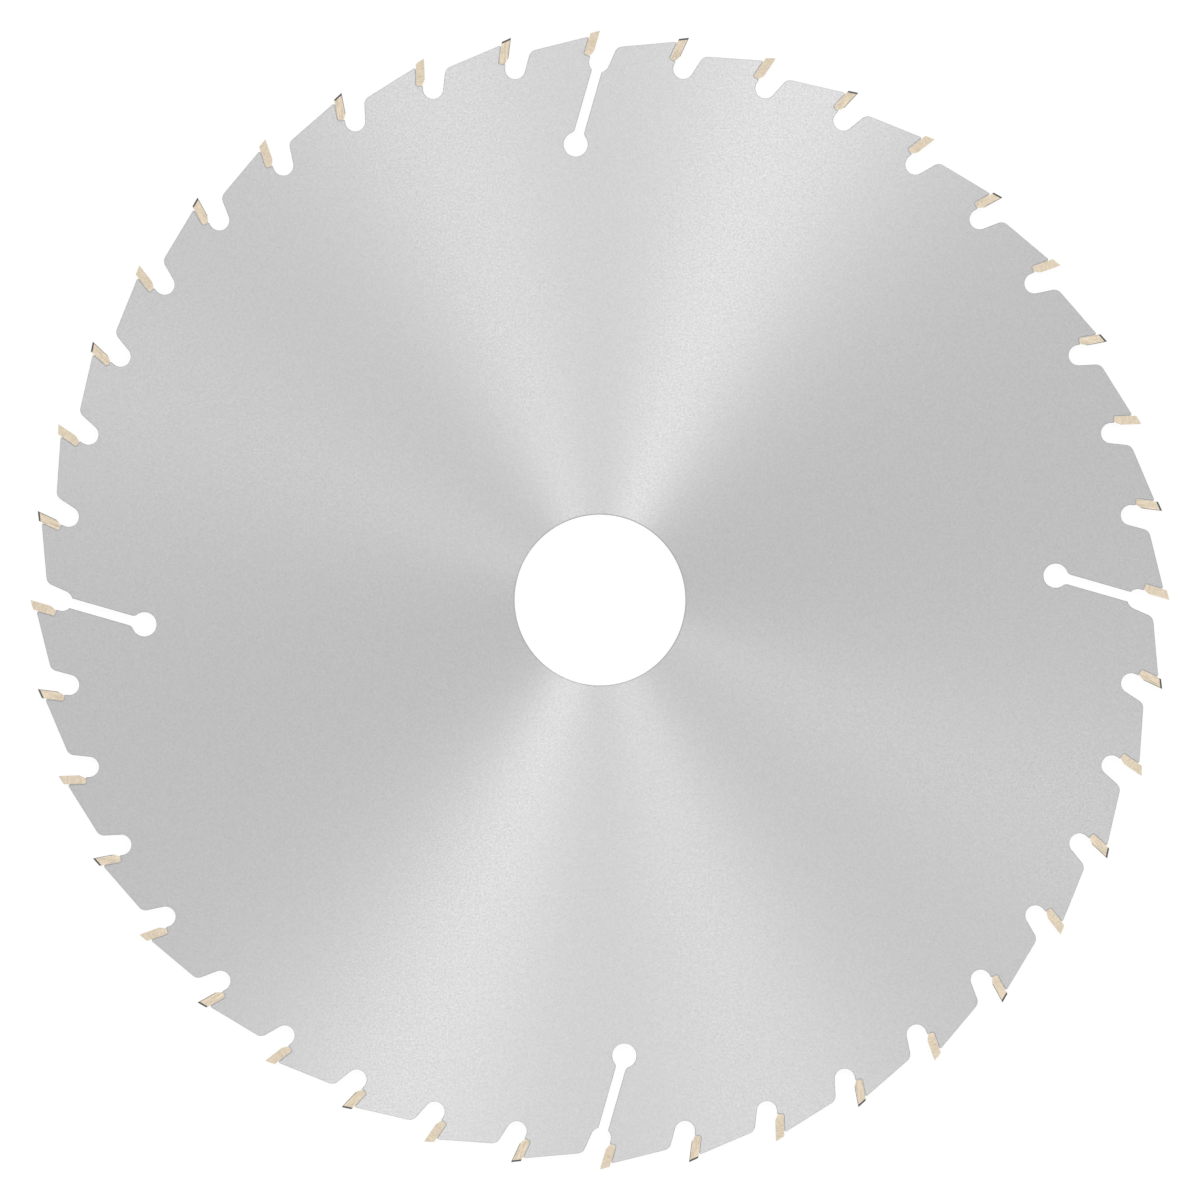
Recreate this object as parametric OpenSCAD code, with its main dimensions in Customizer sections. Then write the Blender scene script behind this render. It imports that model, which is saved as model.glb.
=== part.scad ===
// Circular saw blade with brazed carbide tips, lying flat on its tips.
// The origin is the centre of the bore, halfway through the plate. +Z is the blade's axis.
// Tooth 1 points along +Y, and the teeth are numbered in the direction in which the blade cuts,
// which is clockwise seen from +Z.

/* [Blade] */
// Cutting diameter over the points of the tips
blade_d = 200; // [170:1:260]
// Number of teeth
tooth_count = 40; // [24:4:48]
// Thickness of the steel plate
plate_t = 1.4; // [1:0.1:2.4]
// Diameter of the arbor bore
bore_d = 30; // [16:0.1:60]
// Chamfer on both rims of the bore
bore_chamfer = 0.2; // [0.05:0.05:0.4]

/* [Carbide tips] */
// Thickness of a tip, from its face to its back
tip_t = 1.5; // [1.2:0.1:2.4]
// Length of a tip along its face, from the point to the foot
tip_l = 4.75; // [4:0.25:7]
// How far a tip stands out past each side of the plate at its point
side_overhang = 0.3; // [0.2:0.05:0.6]
// Hook angle: how far the face leans forward of the radius
hook = 16; // [8:1:22]
// Clearance angle of the ground top
top_clearance = 15; // [10:1:18]
// Bevel of the ground top across the kerf, alternating from tooth to tooth
top_bevel = 10; // [0:1:15]
// Shear of the face across the kerf, alternating with the top bevel
face_shear = 3; // [0:1:6]
// Side clearance towards the foot
side_clearance_down = 1.5; // [0.5:0.25:2]
// Side clearance towards the back
side_clearance_back = 2; // [1:0.25:3]
// Length of the chamfer at the front of the foot
foot_chamfer_l = 1.15; // [0.6:0.05:1.6]
// Depth of that chamfer
foot_chamfer_w = 0.55; // [0.45:0.05:0.7]
// Round at the back of the foot
foot_r = 0.3; // [0.1:0.05:0.4]
// Thickness of the braze between a tip and its seat
braze_gap = 0.12; // [0.08:0.01:0.2]

/* [Tooth backs and gullets] */
// Radius of the gullet floor
gullet_r = 1.8; // [1.2:0.1:2.4]
// How far the gullet centre lies below the seat
gullet_drop = 0.5; // [0.1:0.1:2]
// How far the gullet undercuts the line of the tip's face
undercut = 0.4; // [0.2:0.05:0.44]
// Lean of the gullet's far wall from the radius
wall_lean = 24; // [18:1:30]
// Round where that wall turns into the tooth back
crest_r = 1.5; // [0.5:0.1:2]
// Relief angle of the tooth back
back_relief = 14; // [11:0.5:16]
// How far the plate's shoulder lies below the tip's point, along the tip
shoulder_drop = 1.55; // [1.3:0.05:2]
// Round on the shoulder behind the tip
shoulder_r = 0.2; // [0.1:0.05:0.3]

/* [Expansion slots] */
// Number of expansion slots, each of which opens into a gullet
slot_count = 4; // [1:1:8]
// Width of a slot
slot_w = 1.8; // [1:0.1:2.2]
// Length of a slot, from the gullet centre to the keyhole centre
slot_l = 15; // [8:0.5:30]
// Diameter of the keyhole at the end of a slot
keyhole_d = 4.3; // [3.6:0.1:8]
// Round where a slot runs into its keyhole
keyhole_blend = 1; // [0.4:0.1:2]

/* [Hidden] */
$fn = 96;
pitch = 360 / tooth_count;
point_r = blade_d / 2;
kerf = plate_t + 2 * side_overhang;
seat_back = tip_t + braze_gap;
seat_floor = tip_l + braze_gap;
seat_r = foot_r + braze_gap;
// Cutting shapes run this far past the points, and tip blanks this far past their ground faces
reach = 2 * tip_l;
stock = 1;
// Arcs that close a chain run this far into each other, so that they cross instead of just touching
seam = 0.002;

// The point p after a turn by the angle a
function turned(p, a) = [p.x * cos(a) - p.y * sin(a), p.x * sin(a) + p.y * cos(a)];

// Distance from a sharp corner to where a round of radius r starts, for a path that turns by the angle a
function tangent_length(r, a) = r * tan(a / 2);

// Gullet centre in the frame of the tip, and in the frame of the tooth
gullet_in_tip = [gullet_r - undercut, -(seat_floor + gullet_drop)];
gullet_in_tooth = turned(gullet_in_tip, -hook);

// The next tooth's sharp shoulder, seen from the gullet with the gullet's far wall upright
next_shoulder_in_tooth =
    turned(turned([-seat_back, -shoulder_drop], -hook) + [0, point_r], -pitch) - [0, point_r];
next_shoulder = turned(next_shoulder_in_tooth - gullet_in_tooth, wall_lean);

// The next tooth's back rises by this angle in that view, and the crest round touches the wall and the back
back_rise = back_relief - pitch + wall_lean;
crest_turn = 90 - back_rise;
crest_x = gullet_r + crest_r;
crest_y = next_shoulder.y
    + (sin(back_rise) * (crest_x - next_shoulder.x) - crest_r) / cos(back_rise);
back_length = turned(next_shoulder - [crest_x, crest_y], -back_rise).x;

// The shoulder round turns from the tooth back into the seat's wall
shoulder_lean = back_relief + hook;
shoulder_turn = 90 + shoulder_lean;
shoulder_tangent = tangent_length(shoulder_r, shoulder_turn);
// The braze ends where that round meets the seat's wall, and climbs to the tip at 45 degrees
braze_top = -(shoulder_drop + shoulder_tangent);

function tip_name(i) = str("carbide_tip_", i < 10 ? "0" : "", i);

// Puts its children at the point of a tooth, with X along the cut and Y outwards
module at_tooth(i) {
    rotate(-(i - 1) * pitch) translate([0, point_r]) children();
}

// The same, turned so that Y runs up the tip's face
module along_tip(i) {
    at_tooth(i) rotate(-hook) children();
}

// What a round takes off a corner: the path runs up the line x = -r, turns right by the angle a and
// goes on. The round's centre is the origin.
module corner_waste(r, a) {
    start = tangent_length(r, a);
    difference() {
        union() {
            translate([-r, 0]) square([r, start]);
            rotate(90 - a) translate([-start, 0]) square([start, r]);
        }
        circle(r);
    }
}

// Gullet with its front wall along the tip and its far wall upright, seen from its centre
module gullet() {
    splay = wall_lean - hook;
    circle(gullet_r);
    square([gullet_r, reach]);
    rotate(splay) translate([-gullet_r, 0]) square([gullet_r, reach]);
    polygon([[0, -gullet_r / 2], [gullet_r / 2, reach], turned([-gullet_r / 2, reach], splay)]);
}

// Everything above the next tooth's back, seen from the crest's centre: the crest, the straight back
// and the shoulder
module above_tooth_back() {
    corner_waste(crest_r, crest_turn);
    rotate(back_rise) {
        translate([-crest_r, crest_r]) square([crest_r + back_length + tip_t, reach]);
        translate([back_length - shoulder_tangent + seam, crest_r - shoulder_r])
            rotate(-90) corner_waste(shoulder_r, shoulder_turn);
    }
}

// Pocket in the plate for the tip and its braze, with X along the face's normal and Y up the face
module seat() {
    translate([-seat_back, seat_r - seat_floor]) square([seat_back, reach]);
    translate([seat_r - seat_back, -seat_floor]) square([seat_back - seat_r, reach]);
    translate([seat_r - seat_back, seat_r - seat_floor]) circle(seat_r);
}

// Expansion slot, seen from the gullet's centre: a straight cut into a round keyhole
module expansion_slot() {
    keyhole_r = keyhole_d / 2;
    blend_x = slot_w / 2 + keyhole_blend;
    blend_y = sqrt(pow(keyhole_r + keyhole_blend - seam, 2) - pow(blend_x, 2));
    translate([-slot_w / 2, -slot_l]) square([slot_w, slot_l]);
    translate([0, -slot_l]) {
        circle(keyhole_r);
        difference() {
            polygon([[0, 0], [blend_x, blend_y], [-blend_x, blend_y]]);
            translate([blend_x, blend_y]) circle(keyhole_blend);
            translate([-blend_x, blend_y]) circle(keyhole_blend);
        }
    }
}

// Outline of the plate: a disc less its tooth gaps, tip seats and expansion slots
module plate_outline() {
    difference() {
        circle(point_r);
        for (i = [1:tooth_count]) {
            at_tooth(i) translate(gullet_in_tooth) rotate(-wall_lean) {
                gullet();
                translate([crest_x, crest_y]) above_tooth_back();
            }
            along_tip(i) seat();
        }
        for (j = [0:slot_count - 1])
            along_tip(1 + round(j * tooth_count / slot_count))
                translate(gullet_in_tip) expansion_slot();
    }
}

// Arbor bore with a chamfer on each rim
module bore() {
    r = bore_d / 2;
    land = plate_t / 2 - bore_chamfer;
    rotate_extrude()
        polygon([
            [0, -land - reach], [r + reach, -land - reach], [r, -land],
            [r, land], [r + reach, land + reach], [0, land + reach]
        ]);
}

module saw_plate() {
    color([0.78, 0.78, 0.78])
        difference() {
            linear_extrude(plate_t, center = true) plate_outline();
            bore();
        }
}

// Outline of a tip before its face and top are ground
module tip_blank() {
    chamfer_rise = foot_chamfer_l / foot_chamfer_w;
    difference() {
        polygon([
            [-tip_t, stock], [-tip_t, -tip_l], [-foot_chamfer_w, -tip_l],
            [stock, -tip_l + chamfer_rise * (foot_chamfer_w + stock)], [stock, stock]
        ]);
        translate([foot_r - tip_t, foot_r - tip_l]) mirror([0, 1]) corner_waste(foot_r, 90);
    }
}

// A half space on the far side of the plane that meets the origin, with its normal along X, Y or Z
module half_space(normal) {
    size = 4 * reach;
    translate([for (n = normal) n * size / 2]) cube(size, center = true);
}

// A tip with its point at the origin's side of +Z, ground on its face, top and both sides
module ground_tip() {
    difference() {
        linear_extrude(kerf + stock, center = true) tip_blank();
        translate([0, 0, kerf / 2]) {
            rotate([0, face_shear, 0]) half_space([1, 0, 0]);
            rotate([-top_bevel, 0, hook + top_clearance]) half_space([0, 1, 0]);
        }
        for (side = [0, 1]) mirror([0, 0, side]) translate([0, 0, kerf / 2])
            rotate([side_clearance_down, -side_clearance_back, 0]) half_space([0, 0, 1]);
    }
}

// The points lie on alternate sides of the blade
module carbide_tip(i) {
    color([0.89, 0.83, 0.72])
        along_tip(i) mirror([0, 0, (i + 1) % 2]) ground_tip();
}

// Braze around the back and foot of one tip, as thick as the plate
module braze_layer() {
    linear_extrude(plate_t, center = true)
        difference() {
            polygon([
                [foot_r - tip_t, braze_top + seat_back - tip_t + foot_r], [-seat_back, braze_top],
                [-seat_back, -seat_floor], [-undercut, -seat_floor],
                [-foot_chamfer_w, -tip_l], [-foot_chamfer_w, foot_chamfer_l - tip_l]
            ]);
            tip_blank();
            translate([seat_r - seat_back, seat_r - seat_floor]) mirror([0, 1])
                corner_waste(seat_r, 90);
        }
}

module braze_layers() {
    color([0.45, 0.45, 0.46])
        for (i = [1:tooth_count]) along_tip(i) braze_layer();
}

saw_plate();
braze_layers();
for (i = [1:tooth_count]) carbide_tip(i);
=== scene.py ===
"""Carbide-tipped circular saw blade, lying flat on a pale floor and seen from straight above.

The steel plate is drawn again here with finer arcs, broken edges and a fine-ground finish. The tips
and their braze are the part's own solids with better finishes.
"""
import math

import bpy
import numpy as np
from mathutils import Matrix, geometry


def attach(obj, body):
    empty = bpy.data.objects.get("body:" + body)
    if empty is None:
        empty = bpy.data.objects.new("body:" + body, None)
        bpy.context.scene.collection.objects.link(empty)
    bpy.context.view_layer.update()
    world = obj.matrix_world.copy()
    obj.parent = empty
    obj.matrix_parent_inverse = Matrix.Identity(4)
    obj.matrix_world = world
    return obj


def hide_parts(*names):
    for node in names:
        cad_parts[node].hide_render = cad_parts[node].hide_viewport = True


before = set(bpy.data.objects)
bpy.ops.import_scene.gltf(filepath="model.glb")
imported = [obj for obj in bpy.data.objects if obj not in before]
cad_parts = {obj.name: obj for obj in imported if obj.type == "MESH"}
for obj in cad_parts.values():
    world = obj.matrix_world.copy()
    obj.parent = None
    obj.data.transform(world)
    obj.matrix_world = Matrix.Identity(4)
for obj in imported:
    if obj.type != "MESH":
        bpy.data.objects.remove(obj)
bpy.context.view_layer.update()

# Metres in a millimetre
MM = 0.001

# The blade, in millimetres and degrees, as in the part's source
POINT_R = 100.0
TOOTH_COUNT = 40
PITCH = 360.0 / TOOTH_COUNT
PLATE_T = 1.4
KERF = 2.0
BORE_R = 15.0
BORE_CHAMFER = 0.2
HOOK = 16.0
SEAT_BACK = 1.62
SEAT_FLOOR = 4.87
SEAT_R = 0.42
GULLET_R = 1.8
GULLET_DROP = 0.5
UNDERCUT = 0.4
WALL_LEAN = 24.0
CREST_R = 1.5
BACK_RELIEF = 14.0
SHOULDER_DROP = 1.55
SHOULDER_R = 0.2
SLOT_COUNT = 4
SLOT_W = 1.8
SLOT_L = 15.0
KEYHOLE_R = 2.15
KEYHOLE_BLEND = 1.0
# Broken edge round the plate, and the band beside it, which on the outer edge is coloured darker as
# painted edge shade
EDGE_BREAK = 0.05
EDGE_BAND = 0.14

# Straight steps along each arc. A slot's mouth parts its gullet's arc into a front and a back.
SEAT_STEPS = 10
GULLET_STEPS = 34
MOUTH_FRONT_STEPS = 12
MOUTH_BACK_STEPS = 11
BLEND_STEPS = 8
KEYHOLE_STEPS = 60
CREST_STEPS = 12
SHOULDER_STEPS = 14
BORE_STEPS = 240
# Degrees of turn above which an edge is shaded as a sharp one
SHARP_EDGE = 28
# Blender's number for filling only what lies inside closed loops, and how near two points may lie
FILL_INSIDE = 2
FILL_NEAREST = 1e-7


# Outline of the plate

def turn(points, degrees):
    """Points turned about the origin: each is multiplied by the rotation matrix of the angle."""
    angle = math.radians(degrees)
    spin = np.array([[math.cos(angle), math.sin(angle)], [-math.sin(angle), math.cos(angle)]])
    return np.atleast_2d(points) @ spin


def arc(centre, radius, start, end, steps):
    """Points on a circle: the centre plus the radius times the cosine and sine of even angles."""
    angles = np.radians(np.linspace(start, end, steps + 1))
    return np.asarray(centre) + radius * np.stack([np.cos(angles), np.sin(angles)], axis=1)


def slot_outline(gullet):
    """Down one side of an expansion slot, round its keyhole and up the other side.

    A blend round touches the slot's wall and the keyhole, so its centre is half the slot's width
    plus its radius from the middle line, and the sum of both radii from the keyhole's centre.
    """
    keyhole = gullet - [0, SLOT_L]
    blend_x = SLOT_W / 2 + KEYHOLE_BLEND
    blend_y = math.sqrt((KEYHOLE_R + KEYHOLE_BLEND) ** 2 - blend_x ** 2)
    touch = math.degrees(math.atan2(blend_y, blend_x))
    down = arc(keyhole + [-blend_x, blend_y], KEYHOLE_BLEND, 0, -touch, BLEND_STEPS)
    around = arc(keyhole, KEYHOLE_R, 180 - touch, 360 + touch, KEYHOLE_STEPS)
    up = arc(keyhole + [blend_x, blend_y], KEYHOLE_BLEND, 180 + touch, 180, BLEND_STEPS)
    return np.concatenate([down, around[1:-1], up])


def gullet_floor(gullet, slotted):
    """The gullet's arc from its front wall to its far wall, parted by a slot where there is one.

    A slot's edge meets the arc at the angle whose sine is half its width over the gullet's radius.
    """
    far_wall = 360 - (WALL_LEAN - HOOK)
    if not slotted:
        return arc(gullet, GULLET_R, 180, far_wall, GULLET_STEPS)
    mouth = math.degrees(math.asin(SLOT_W / 2 / GULLET_R))
    return np.concatenate([
        arc(gullet, GULLET_R, 180, 270 - mouth, MOUTH_FRONT_STEPS),
        slot_outline(gullet),
        arc(gullet, GULLET_R, 270 + mouth, far_wall, MOUTH_BACK_STEPS),
    ])


def tooth_back(gullet_in_tooth):
    """The crest round and the next tooth's shoulder, seen from the gullet with its far wall upright.

    The crest's centre lies its radius from the far wall and from the line of the tooth's back. The
    shoulder round starts its tangent length, radius times the tangent of half its turn, before the
    sharp shoulder.
    """
    shoulder = turn([-SEAT_BACK, -SHOULDER_DROP], -HOOK)[0] + [0, POINT_R]
    shoulder = turn(shoulder, -PITCH)[0] - [0, POINT_R]
    shoulder = turn(shoulder - gullet_in_tooth, WALL_LEAN)[0]
    rise = BACK_RELIEF - PITCH + WALL_LEAN
    slope = math.radians(rise)
    crest_x = GULLET_R + CREST_R
    climb = math.sin(slope) * (crest_x - shoulder[0]) - CREST_R
    crest = np.array([crest_x, shoulder[1] + climb / math.cos(slope)])
    back_length = turn(shoulder - crest, -rise)[0, 0]
    shoulder_turn = 90 + BACK_RELIEF + HOOK
    shoulder_start = back_length - SHOULDER_R * math.tan(math.radians(shoulder_turn / 2))
    shoulder_centre = [shoulder_start, CREST_R - SHOULDER_R]
    crest_round = arc([0, 0], CREST_R, 180, 90 + rise, CREST_STEPS)
    shoulder_round = arc(shoulder_centre, SHOULDER_R, 90, 90 - shoulder_turn, SHOULDER_STEPS)
    return crest + np.concatenate([crest_round, turn(shoulder_round, rise)])


def tooth_gap(slotted):
    """One pitch of the outline, clockwise from the foot of tooth 1's seat to the shoulder of tooth 2.

    Seat round, seat floor, gullet arc, crest round and shoulder round follow each other, and straight
    edges join them.
    """
    gullet = np.array([GULLET_R - UNDERCUT, -(SEAT_FLOOR + GULLET_DROP)])
    gullet_in_tooth = turn(gullet, -HOOK)[0]
    seat = arc([SEAT_R - SEAT_BACK, SEAT_R - SEAT_FLOOR], SEAT_R, 180, 270, SEAT_STEPS)
    lip = np.array([[-UNDERCUT, -SEAT_FLOOR]])
    front = np.concatenate([seat, lip, gullet_floor(gullet, slotted)])
    back = gullet_in_tooth + turn(tooth_back(gullet_in_tooth), -WALL_LEAN)
    return np.concatenate([turn(front, -HOOK), back]) + [0, POINT_R]


def plate_outline():
    """The whole outline: a plain or a slotted pitch for each tooth, turned to its place."""
    every = TOOTH_COUNT // SLOT_COUNT
    plain = tooth_gap(False)
    slotted = tooth_gap(True)
    return np.concatenate([
        turn(plain if tooth % every else slotted, -tooth * PITCH) for tooth in range(TOOTH_COUNT)
    ])


def inset(outline, depth):
    """The outline moved into the metal: each corner goes along the mitre of its two edges' normals.

    The mitre is the sum of both unit normals over one plus their dot product.
    """
    step = np.roll(outline, -1, axis=0) - outline
    step = step / np.linalg.norm(step, axis=1, keepdims=True)
    after = np.stack([-step[:, 1], step[:, 0]], axis=1)
    before = np.roll(after, 1, axis=0)
    mitre = (before + after) / (1 + np.sum(before * after, axis=1, keepdims=True))
    return outline - depth * mitre


# Meshes

def at_height(points, height):
    """Plan points lifted to one height."""
    return np.column_stack([points, np.full(len(points), height)])


def band_faces(rows, length, first):
    """Quads between neighbouring closed loops: point k to k + 1 along, row j to j + 1 across."""
    row, column = np.meshgrid(np.arange(rows - 1), np.arange(length), indexing="ij")
    ahead = (column + 1) % length
    quads = np.stack([
        row * length + column, row * length + ahead,
        (row + 1) * length + ahead, (row + 1) * length + column], axis=-1)
    return quads.reshape(-1, 4) + first


def closed_edges(length, first):
    """Edges of a closed loop, from each point to the next."""
    here = np.arange(length)
    return np.stack([here, (here + 1) % length], axis=1) + first


def fill_between(rim, hole):
    """Triangles between two loops in plan, numbered along the rim and then along the hole.

    They come from a Delaunay fill that keeps the loops' edges. A triangle with all its corners on
    the hole's loop lies inside the hole, so it is left out.
    """
    points = np.concatenate([rim, hole])
    loops = np.concatenate([closed_edges(len(rim), 0), closed_edges(len(hole), len(rim))])
    fill = geometry.delaunay_2d_cdt(
        points.tolist(), loops.tolist(), [], FILL_INSIDE, FILL_NEAREST)
    _, _, faces, sources, _, _ = fill
    triangles = np.array(sources).ravel()[np.array(faces)]
    return triangles[(triangles < len(rim)).any(axis=1)]


def saw_plate_mesh():
    """The plate: one edge profile carried round the outline, another round the bore, and flat faces.

    The outer profile is flat face, broken edge, wall, broken edge, flat face. The bore's profile is
    the same with its chamfer. The flat faces are the triangles between the innermost loops of the
    two profiles.
    """
    half = PLATE_T / 2
    outline = plate_outline()
    angles = np.linspace(0, 2 * math.pi, BORE_STEPS, endpoint=False)
    circle = np.stack([np.cos(angles), np.sin(angles)], axis=1)
    profile = [
        (EDGE_BAND, half), (EDGE_BREAK, half), (0, half - EDGE_BREAK),
        (0, EDGE_BREAK - half), (EDGE_BREAK, -half), (EDGE_BAND, -half)]
    wide = BORE_R + BORE_CHAMFER
    bore_profile = [
        (wide + EDGE_BAND, half), (wide, half), (BORE_R, half - BORE_CHAMFER),
        (BORE_R, BORE_CHAMFER - half), (wide, -half), (wide + EDGE_BAND, -half)]
    outer = [at_height(inset(outline, depth), height) for depth, height in profile]
    inner = [at_height(radius * circle, height) for radius, height in bore_profile]
    points = np.concatenate(outer + inner)
    rows = len(profile)
    n_out = len(outline)
    n_bore = len(circle)
    bore_first = rows * n_out
    bands = np.concatenate([band_faces(rows, n_out, 0), band_faces(rows, n_bore, bore_first)])

    # The flat faces, filled once on the first rows and moved to the last rows for the underside
    triangles = fill_between(outer[0][:, :2], inner[0][:, :2])
    on_outline = triangles < n_out
    top = np.where(on_outline, triangles, triangles - n_out + bore_first)
    under = top + (rows - 1) * np.where(on_outline, n_out, n_bore)

    # The walls, the middle bands of both profiles, take the second finish
    band_finish = np.array([0, 0, 1, 0, 0])
    face_finish = np.concatenate([
        np.repeat(band_finish, n_out), np.repeat(band_finish, n_bore),
        np.zeros(2 * len(triangles), int)])

    # The outer profile carries painted edge shade, a darker colour, all over, and it fades out at its
    # two ends
    row_edge_shade = np.array([0.0, 1.0, 1.0, 1.0, 1.0, 0.0])
    painted_edge_shade = np.concatenate([np.repeat(row_edge_shade, n_out), np.zeros(rows * n_bore)])

    faces = bands.tolist() + top.tolist() + under[:, ::-1].tolist()
    mesh = bpy.data.meshes.new("fine_saw_plate")
    mesh.from_pydata((points * MM).tolist(), [], faces)
    mesh.polygons.foreach_set("material_index", face_finish.astype(np.int32))
    # The painted edge shade goes on the points, for the finish to read
    edge_shade_attribute = mesh.attributes.new("painted_edge_shade", "FLOAT", "POINT")
    edge_shade_attribute.data.foreach_set("value", painted_edge_shade.astype(np.float32))
    mesh.shade_smooth()
    mesh.set_sharp_from_angle(angle=math.radians(SHARP_EDGE))
    mesh.update()
    return mesh


def floor_mesh(half_width, height):
    """A flat square: the product of two ranges at one height."""
    x, y = np.meshgrid([-half_width, half_width], [-half_width, half_width])
    points = np.stack([x, y, np.full_like(x, height)], axis=-1).reshape(-1, 3)
    mesh = bpy.data.meshes.new("floor")
    mesh.from_pydata(points.tolist(), [], [[0, 1, 3, 2]])
    return mesh


# Finishes

class Signal:
    """One output socket in a node tree. Arithmetic on it adds Math nodes."""

    def __init__(self, tree, socket=None):
        self.tree = tree
        self.socket = socket

    def node(self, kind, settings=None, sockets=None, output=0):
        """Adds a node: its settings come first, then the values or links of its sockets."""
        made = self.tree.nodes.new(kind)
        for name, value in (settings or {}).items():
            setattr(made, name, value)
        for key, value in (sockets or {}).items():
            if isinstance(value, Signal):
                self.tree.links.new(value.socket, made.inputs[key])
            else:
                made.inputs[key].default_value = value
        return Signal(self.tree, made.outputs[output] if made.outputs else None)

    def maths(self, operation, *values):
        """One Math node on these values."""
        return self.node("ShaderNodeMath", {"operation": operation}, dict(enumerate(values)))

    def __add__(self, other):
        return self.maths("ADD", self, other)

    def __sub__(self, other):
        return self.maths("SUBTRACT", self, other)

    def __mul__(self, other):
        return self.maths("MULTIPLY", self, other)

    def __truediv__(self, other):
        return self.maths("DIVIDE", self, other)

    def __radd__(self, other):
        return self.maths("ADD", other, self)

    def __rsub__(self, other):
        return self.maths("SUBTRACT", other, self)

    def __rmul__(self, other):
        return self.maths("MULTIPLY", other, self)

    def __rtruediv__(self, other):
        return self.maths("DIVIDE", other, self)

    def rise(self, low, high):
        """0 below low, 1 above high, and an S-curve between them."""
        return self.node(
            "ShaderNodeMapRange", {"interpolation_type": "SMOOTHSTEP"},
            {"Value": self, "From Min": low, "From Max": high})

    def vector(self, x, y, z):
        """A vector from three values."""
        return self.node("ShaderNodeCombineXYZ", None, {"X": x, "Y": y, "Z": z})

    def parts(self):
        """The three values of a vector."""
        split = self.node("ShaderNodeSeparateXYZ", None, {"Vector": self})
        return [Signal(self.tree, output) for output in split.socket.node.outputs]

    def scaled(self, factor):
        """A vector times a value."""
        return self.node("ShaderNodeVectorMath", {"operation": "SCALE"}, {0: self, "Scale": factor})

    def dot(self, other):
        """Dot product of two vectors."""
        return self.node(
            "ShaderNodeVectorMath", {"operation": "DOT_PRODUCT"}, {0: self, 1: other}, "Value")

    def noise(self, scale, detail=2.0, rough=0.5):
        """Soft noise about 0 on this vector."""
        made = self.node(
            "ShaderNodeTexNoise", None,
            {"Vector": self, "Scale": scale, "Detail": detail, "Roughness": rough})
        return made - 0.5

    def blend(self, first, second):
        """The first colour where this is 0 and the second where it is 1.

        The node's colour sockets share their names with others, so they go by number.
        """
        return self.node("ShaderNodeMix", {"data_type": "RGBA"}, {0: self, 6: first, 7: second}, 2)

    def tinted(self, colour):
        """A colour times this value."""
        return self.node("ShaderNodeVectorMath", {"operation": "SCALE"}, {0: colour, "Scale": self})

    def bumped(self, height):
        """A normal from a height in millimetres."""
        return self.node(
            "ShaderNodeBump", None, {"Strength": 1.0, "Distance": 1.0, "Height": height * MM})


def surface(start, sockets):
    """A Principled shader with these sockets."""
    return start.node("ShaderNodeBsdfPrincipled", None, sockets)


def finish(name, build):
    """A material whose surface is the shader that build gives."""
    made = bpy.data.materials.new(name)
    made.use_nodes = True
    made.node_tree.nodes.clear()
    start = Signal(made.node_tree)
    start.node("ShaderNodeOutputMaterial", None, {"Surface": build(start)})
    return made


def place(start):
    """Object coordinates in millimetres."""
    return start.node("ShaderNodeTexCoord", None, None, "Object").scaled(1 / MM)


def from_axis(start, x, y):
    """Distance from the blade's axis: the root of the sum of both squares."""
    return start.maths("SQRT", x * x + y * y)


# Ground faces of the plate: colour, roughness, and how far the grinding stretches its gloss outwards,
# at a quarter turn from its own direction
STEEL_COLOUR = (0.503, 0.503, 0.503)
STEEL_ROUGHNESS = 0.465
STEEL_STRETCH = 0.9
QUARTER_TURN = 0.25
# Grains to the millimetre. Rings and scratches also have grains to the radian, round the blade.
RING_GRAIN = 9
RING_GRAIN_ROUND = 30
SCRATCH_GRAIN = 12
SCRATCH_GRAIN_ROUND = 22
SPECKLE_GRAIN = 3.4
GLINT_GRAIN = 3.0
DRIFT_GRAIN = 0.03
# Glint is read this many millimetres away, so that it doesn't lie where the speckle does
GLINT_SHIFT = 40
# What each adds to the tone
SPECKLE_TONE = 0.32
SCRATCH_TONE = 0.12
RING_TONE = 0.015
DRIFT_TONE = 0.02
# Painted edge shade: the colour is darker along the plate's outer edges
EDGE_SHADE_TONE = -0.1
# What each adds to the roughness
GLINT_ROUGHNESS = 0.27
SCRATCH_ROUGHNESS = 0.08
DRIFT_ROUGHNESS = 0.02
# Height of each in millimetres
RING_HEIGHT = 0.0006
SCRATCH_HEIGHT = 0.0003
SPECKLE_HEIGHT = 0.0004


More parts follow.
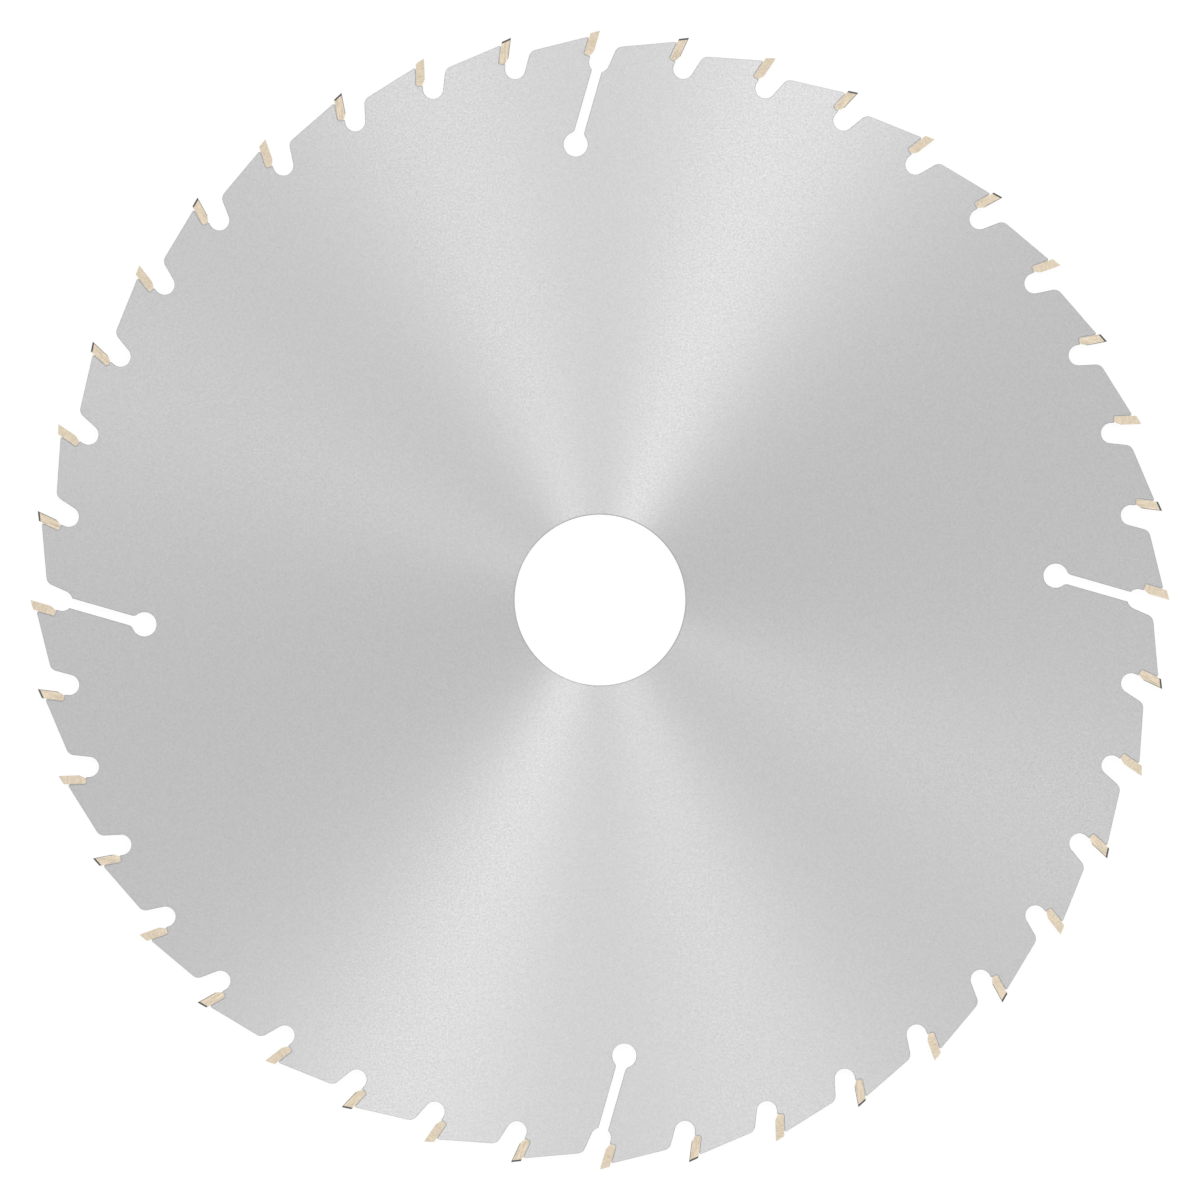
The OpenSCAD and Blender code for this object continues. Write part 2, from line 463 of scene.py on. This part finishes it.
def ground_steel(start):
    """Faces of the plate: fine circular grinding, which spreads light outwards and inwards, with a
    fine speckle, and a darker colour near the outer edges as painted edge shade."""
    spot = place(start)
    x, y, z = spot.parts()
    radius = from_axis(start, x, y)

    def round_blade(grain, grain_round):
        """Coordinates that follow the grinding: the radius, and the direction from the axis."""
        return start.vector(
            radius * grain, x / radius * grain_round, y / radius * grain_round)

    rings = round_blade(RING_GRAIN, RING_GRAIN_ROUND).noise(1)
    scratches = round_blade(SCRATCH_GRAIN, SCRATCH_GRAIN_ROUND).noise(1, detail=3, rough=0.7)
    speckle = spot.noise(SPECKLE_GRAIN, detail=3, rough=0.6)
    beside = start.vector(x + GLINT_SHIFT, y + GLINT_SHIFT, z)
    glint = beside.noise(GLINT_GRAIN, detail=3, rough=0.6)
    drift = spot.noise(DRIFT_GRAIN)
    # Painted edge shade: darker colour along the outer edges
    painted_edge_shade = start.node("ShaderNodeAttribute", {"attribute_name": "painted_edge_shade"}, None, "Fac")
    tone = 1 + SPECKLE_TONE * speckle + SCRATCH_TONE * scratches + RING_TONE * rings
    tone = tone + DRIFT_TONE * drift + EDGE_SHADE_TONE * painted_edge_shade
    roughness = STEEL_ROUGHNESS + GLINT_ROUGHNESS * glint + SCRATCH_ROUGHNESS * scratches
    height = RING_HEIGHT * rings + SCRATCH_HEIGHT * scratches + SPECKLE_HEIGHT * speckle
    return surface(start, {
        "Base Color": tone.tinted(STEEL_COLOUR),
        "Metallic": 1.0,
        "Roughness": roughness + DRIFT_ROUGHNESS * drift,
        "Anisotropic": STEEL_STRETCH,
        "Anisotropic Rotation": QUARTER_TURN,
        "Normal": start.bumped(height),
    })


# Walls of the plate: colour and roughness
EDGE_COLOUR = (0.33, 0.33, 0.335)
EDGE_ROUGHNESS = 0.42
# Grains to the millimetre, and the share of them through the plate, which draws them out to lines
LINE_GRAIN = 7
LINE_SHARE = 0.12
MOTTLE_GRAIN = 1.5
# What each adds to the tone and to the roughness, and its height in millimetres
LINE_TONE = 0.5
MOTTLE_TONE = 0.3
LINE_ROUGHNESS = 0.1
MOTTLE_ROUGHNESS = 0.2
LINE_HEIGHT = 0.012
MOTTLE_HEIGHT = 0.008


def cut_steel(start):
    """Walls of the outline and the bore: cut through the sheet, with fine lines across the edge."""
    spot = place(start)
    x, y, z = spot.parts()
    lines = start.vector(x, y, z * LINE_SHARE).noise(LINE_GRAIN, detail=3, rough=0.6)
    mottle = spot.noise(MOTTLE_GRAIN, detail=3)
    tone = 1 + LINE_TONE * lines + MOTTLE_TONE * mottle
    return surface(start, {
        "Base Color": tone.tinted(EDGE_COLOUR),
        "Metallic": 1.0,
        "Roughness": EDGE_ROUGHNESS + MOTTLE_ROUGHNESS * mottle + LINE_ROUGHNESS * lines,
        "Normal": start.bumped(LINE_HEIGHT * lines + MOTTLE_HEIGHT * mottle),
    })


def in_tip(start, x, y, radius):
    """Place across and along the nearest tip, in its own frame, and the tip's number.

    The clockwise angle from +Y, less the nearest whole number of pitches, folds every tip onto the
    first. The fold is measured from the point and turned back by the hook angle.
    """
    turns = start.maths("ARCTAN2", x, y) * (TOOTH_COUNT / (2 * math.pi))
    number = start.maths("ROUND", turns)
    angle = (turns - number) * math.radians(PITCH)
    ahead = radius * start.maths("SINE", angle)
    up = radius * start.maths("COSINE", angle) - POINT_R
    cos_hook = math.cos(math.radians(HOOK))
    sin_hook = math.sin(math.radians(HOOK))
    across = ahead * cos_hook - up * sin_hook
    along = ahead * sin_hook + up * cos_hook
    return across, along, number


# Sides of the tips: warm and slightly metallic
SIDE_COLOUR = (0.535, 0.452, 0.342)
SIDE_METALLIC = 0.25
SIDE_ROUGHNESS = 0.46
# Tops and faces of the tips: a dark colour as painted shade, chosen by which way the surface faces,
# with little shine
TOP_SHADE_COLOUR = (0.054, 0.054, 0.056)
FACE_SHADE_COLOUR = (0.16, 0.155, 0.15)
GROUND_ROUGHNESS = 0.6
GROUND_SHINE = 0.12
# A surface counts as a top or a face, and takes the painted shade, as the cosine of its angle rises
# between these
SHADE_FROM = 0.55
SHADE_TO = 0.8
# Grains to the millimetre across a tip, along it and through it
LENGTHWISE_GRAIN = (4.6, 0.4, 9)
CROSSWISE_GRAIN = (0.6, 4.6, 7)
HONING_GRAIN = (1.2, 1.2, 16)
CLOUD_GRAIN = 0.9
GRIT_GRAIN = 3.2
# How far the patterns move on from one tip to the next, so that no two tips are alike
STROKE_SHIFT = 7
CLOUD_SHIFT = 3
GRIT_SHIFT = 5
# Where the paler foot of every other tip fades out, in millimetres along the tip from its point
FOOT_FROM = -4.6
FOOT_TO = -3.6
# What each adds to the tone of the sides. Lines are stronger on every other tip.
STROKE_TONE = 0.62
STROKE_TONE_MORE = 0.5
GRIT_TONE = 0.65
CLOUD_TONE = 0.05
EVERY_OTHER_TONE = 0.03
FOOT_TONE = 0.06
# What each adds to the tone of the tops and faces
HONING_TONE = 1.6
GROUND_GRIT_TONE = 0.5
# What each adds to the roughness, and its height in millimetres
STROKE_ROUGHNESS = 0.16
HONING_ROUGHNESS = 0.3
STROKE_HEIGHT = 0.004
CLOUD_HEIGHT = 0.002
HONING_HEIGHT = 0.006
GRIT_HEIGHT = 0.002


def ground_carbide_with_painted_shade(start):
    """Tips: pale warm sides with fine grinding lines, which run along one tip and across the next,
    and tops and faces coloured dark as painted shade, with fine honing marks."""
    x, y, z = place(start).parts()
    radius = from_axis(start, x, y)
    across, along, number = in_tip(start, x, y, radius)

    def strokes(grain, rough):
        """Noise stretched by the grains across, along and through a tip."""
        stretched = start.vector(
            across * grain[0], along * grain[1], z * grain[2] + number * STROKE_SHIFT)
        return stretched.noise(1, detail=3, rough=rough)

    outward = start.vector(x / radius, y / radius, 0.0)
    ahead = start.vector(y / radius, x / radius * -1, 0.0)
    normal = start.node("ShaderNodeNewGeometry", None, None, "Normal")
    # Painted shade: tops and faces are picked out by which way the surface faces
    top = normal.dot(outward).rise(SHADE_FROM, SHADE_TO)
    face = normal.dot(ahead).rise(SHADE_FROM, SHADE_TO)

    every_other = start.maths("PINGPONG", number, 1.0)
    lengthwise = strokes(LENGTHWISE_GRAIN, 0.6)
    crosswise = strokes(CROSSWISE_GRAIN, 0.6)
    lines = crosswise + every_other * (lengthwise - crosswise)
    cloud = start.vector(across, along, z + number * CLOUD_SHIFT).noise(CLOUD_GRAIN)
    grit = start.vector(across, along, z + number * GRIT_SHIFT).noise(
        GRIT_GRAIN, detail=3, rough=0.6)
    pale_foot = (1 - along.rise(FOOT_FROM, FOOT_TO)) * (1 - every_other)
    warm = 1 + lines * (STROKE_TONE + STROKE_TONE_MORE * every_other) + GRIT_TONE * grit
    warm = warm + CLOUD_TONE * cloud + EVERY_OTHER_TONE * every_other + FOOT_TONE * pale_foot
    sides = surface(start, {
        "Base Color": warm.tinted(SIDE_COLOUR),
        "Metallic": SIDE_METALLIC,
        "Roughness": SIDE_ROUGHNESS + STROKE_ROUGHNESS * lines,
        "Normal": start.bumped(STROKE_HEIGHT * lines + CLOUD_HEIGHT * cloud),
    })

    # Tops and faces: real honing marks on a dark colour that is painted shade
    honing = strokes(HONING_GRAIN, 0.65)
    grey = 1 + HONING_TONE * honing + GROUND_GRIT_TONE * grit
    ground_with_painted_shade = surface(start, {
        "Base Color": face.blend(grey.tinted(TOP_SHADE_COLOUR), grey.tinted(FACE_SHADE_COLOUR)),
        "Roughness": GROUND_ROUGHNESS + HONING_ROUGHNESS * honing,
        "Specular IOR Level": GROUND_SHINE,
        "Normal": start.bumped(HONING_HEIGHT * honing + GRIT_HEIGHT * grit),
    })
    # The painted shade covers the tops and faces
    return start.node(
        "ShaderNodeMixShader", None, {0: start.maths("MAXIMUM", top, face), 1: sides, 2: ground_with_painted_shade})


# Braze: its plain and its warm colour, both set darker in part as painted seam shade, how metallic
# and how rough it is
BRAZE_GREY = (0.46, 0.46, 0.47, 1)
BRAZE_WARM = (0.48, 0.465, 0.43, 1)
BRAZE_METALLIC = 0.8
BRAZE_ROUGHNESS = 0.5
# Grains to the millimetre
LUMP_GRAIN = 2.2
PIT_GRAIN = 9
WARM_GRAIN = 0.7
# Noise between these turns into a pit, and into the warm colour
PIT_RANGE = (0.12, 0.3)
WARM_RANGE = (-0.2, 0.3)
# What each adds to the tone and to the roughness, and its height in millimetres
LUMP_TONE = 0.4
# Painted shade: the pits are coloured darker as well as dented
PIT_SHADE_TONE = -0.3
LUMP_ROUGHNESS = 0.3
LUMP_HEIGHT = 0.02
PIT_HEIGHT = -0.015


def braze_with_painted_shade(start):
    """Braze: grey metal set darker in part as painted seam shade, uneven, with small dented pits
    coloured darker as painted shade, and a faint warm cast.
    """
    spot = place(start)
    lumps = spot.noise(LUMP_GRAIN, detail=3)
    pit_dents_and_shade = spot.noise(PIT_GRAIN).rise(*PIT_RANGE)
    warm = spot.noise(WARM_GRAIN).rise(*WARM_RANGE)
    # The pits are coloured darker here as painted shade
    tone = 1 + LUMP_TONE * lumps + PIT_SHADE_TONE * pit_dents_and_shade
    return surface(start, {
        # The braze's grey is partly painted seam shade
        "Base Color": tone.tinted(warm.blend(BRAZE_GREY, BRAZE_WARM)),
        "Metallic": BRAZE_METALLIC,
        "Roughness": BRAZE_ROUGHNESS + LUMP_ROUGHNESS * lumps,
        "Normal": start.bumped(LUMP_HEIGHT * lumps + PIT_HEIGHT * pit_dents_and_shade),
    })


# Floor: what it reflects and what it gives off, which together come to just over full white
FLOOR_COLOUR = (0.1, 0.1, 0.1, 1)
FLOOR_LIGHT = 0.91


def pale_floor(start):
    """Floor: even white that gives off its own light, like a lit table, so that it shows no shade."""
    return surface(start, {
        "Base Color": FLOOR_COLOUR,
        "Roughness": 1.0,
        "Specular IOR Level": 0.0,
        "Emission Color": (1, 1, 1, 1),
        "Emission Strength": FLOOR_LIGHT,
    })


# The object

plate = bpy.data.objects.new("fine_saw_plate", saw_plate_mesh())
bpy.context.scene.collection.objects.link(plate)
plate.data.materials.append(finish("ground_plate_steel", ground_steel))
plate.data.materials.append(finish("cut_plate_edge", cut_steel))
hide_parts("saw_plate")
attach(plate, "root")

# The tips' material, with painted shade on their tops and faces
carbide = finish("ground_carbide_with_painted_shade", ground_carbide_with_painted_shade)
# Braze material: grey metal, partly darkened as painted seam shade
braze = finish("braze_with_painted_shade", braze_with_painted_shade)
for name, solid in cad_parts.items():
    if name != "saw_plate":
        solid.data.materials.clear()
        solid.data.materials.append(braze if name == "braze_layers" else carbide)

# Floor, light and camera

# Half the floor's width, and how far it lies below the tips, in metres
FLOOR_HALF = 20.0
FLOOR_GAP = 0.00002
# Sky: its light at the horizon, and from this height upwards on a sphere of radius 1
HORIZON_LIGHT = (0.35, 0.35, 0.35, 1)
SKY_LIGHT = (1.25, 1.25, 1.25, 1)
SKY_FROM = 0.8
# Lights: distance and width in metres, elevation in degrees, then each one's azimuth and watts
LIGHT_DISTANCE = 8.0
LIGHT_WIDTH = 1.0
LIGHT_ELEVATION = 60
LIGHTS = {
    "light_right": (68.9, 78),
    "light_left": (108.3, 58.5),
    "light_low": (335.1, 28),
}
# Camera: a long lens and its sensor in millimetres, then half the width that the picture spans and
# the nearest and farthest that it sees, in metres
LENS = 1000
SENSOR = 36
VIEW_HALF = 0.10537
NEAREST = 0.01
FARTHEST = 100

floor = bpy.data.objects.new("floor", floor_mesh(FLOOR_HALF, -KERF / 2 * MM - FLOOR_GAP))
bpy.context.scene.collection.objects.link(floor)
floor.data.materials.append(finish("pale_floor", pale_floor))

world = bpy.data.worlds.new("studio")
world.use_nodes = True
world.node_tree.nodes.clear()
sky = Signal(world.node_tree)
sky_height = sky.node("ShaderNodeTexCoord", None, None, "Generated").parts()[2]
glow = sky_height.rise(0.0, SKY_FROM).blend(HORIZON_LIGHT, SKY_LIGHT)
background = sky.node("ShaderNodeBackground", None, {"Color": glow, "Strength": 1.0})
sky.node("ShaderNodeOutputWorld", None, {"Surface": background})
bpy.context.scene.world = world


def soft_light(name, azimuth, watts):
    """A large round soft light some way off, aimed at the blade."""
    light = bpy.data.lights.new(name, "AREA")
    light.shape = "DISK"
    light.size = LIGHT_WIDTH
    light.energy = watts
    lamp = bpy.data.objects.new(name, light)
    bpy.context.scene.collection.objects.link(lamp)
    flat = LIGHT_DISTANCE * math.cos(math.radians(LIGHT_ELEVATION))
    lamp.location = (
        flat * math.cos(math.radians(azimuth)),
        flat * math.sin(math.radians(azimuth)),
        LIGHT_DISTANCE * math.sin(math.radians(LIGHT_ELEVATION)))
    lamp.rotation_euler = (
        math.radians(90 - LIGHT_ELEVATION), 0, math.radians(azimuth + 90))
    lamp.visible_camera = False


for name, (azimuth, watts) in LIGHTS.items():
    soft_light(name, azimuth, watts)

lens = bpy.data.cameras.new("camera")
lens.lens = LENS
lens.sensor_width = SENSOR
lens.clip_start = NEAREST
lens.clip_end = FARTHEST
camera = bpy.data.objects.new("camera", lens)
bpy.context.scene.collection.objects.link(camera)
camera.location = (0, 0, KERF / 2 * MM + VIEW_HALF * LENS / (SENSOR / 2))
bpy.context.scene.camera = camera
bpy.context.scene.view_settings.view_transform = "Standard"
